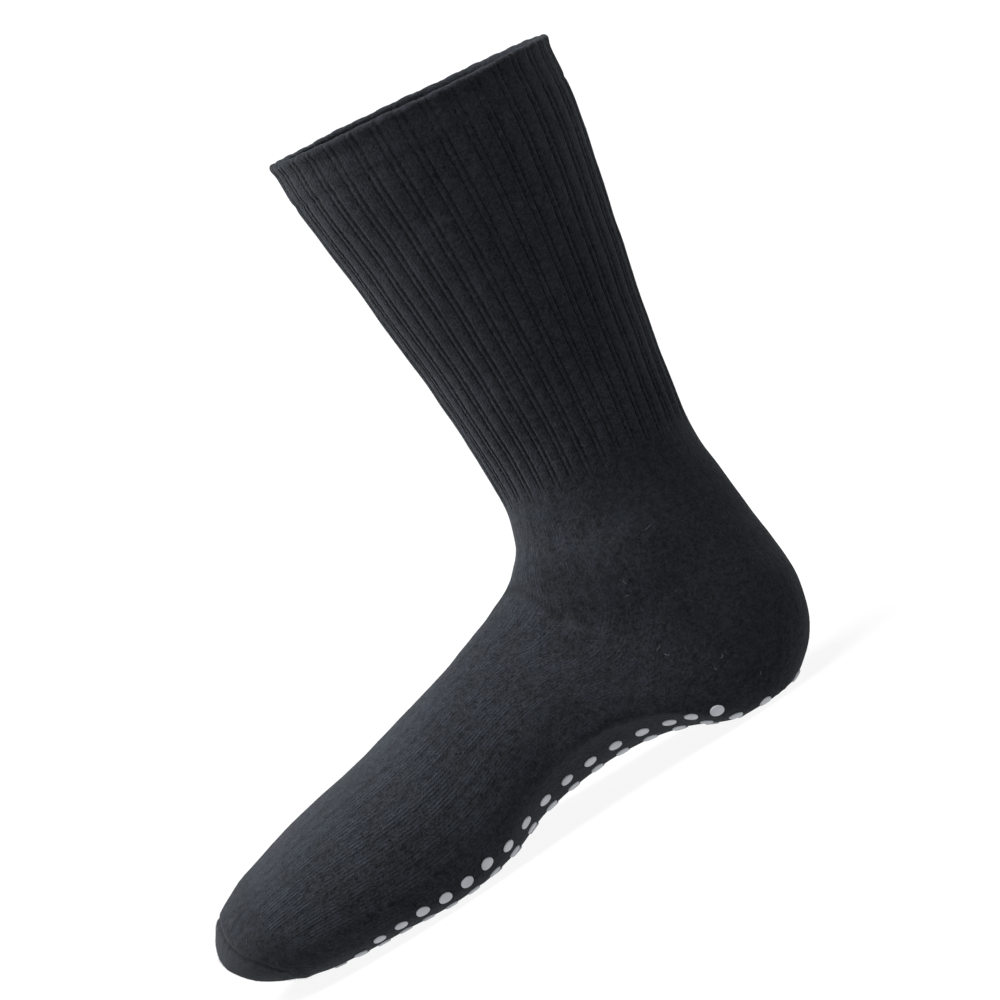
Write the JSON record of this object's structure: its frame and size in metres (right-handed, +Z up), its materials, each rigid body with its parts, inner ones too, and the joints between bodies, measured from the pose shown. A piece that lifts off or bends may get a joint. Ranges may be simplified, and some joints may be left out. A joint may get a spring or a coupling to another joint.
{
  "type": "slipper sock",
  "caption": "Crew-length knitted slipper sock, hollow and open at the ribbed collar, with grip dots on the sole and a linked toe seam, standing empty on heel and ball.",
  "frame": {"origin": "middle of the bounding box at its base, on the floor under the sole", "axes": "-X to the toe, +X to the heel, -Y to the inner side of a right foot, +Z up to the collar"},
  "size_m": [0.2882, 0.1072, 0.2671],
  "materials": {
    "knit": "matte brushed cotton knit, blue-black",
    "seam_thread": "matte thread, black",
    "grip_print": "satin, mid grey print"
  },
  "bodies": {
    "root": {"knit_body": "knit", "toe_seam": "seam_thread"}
  },
  "joints": []
}
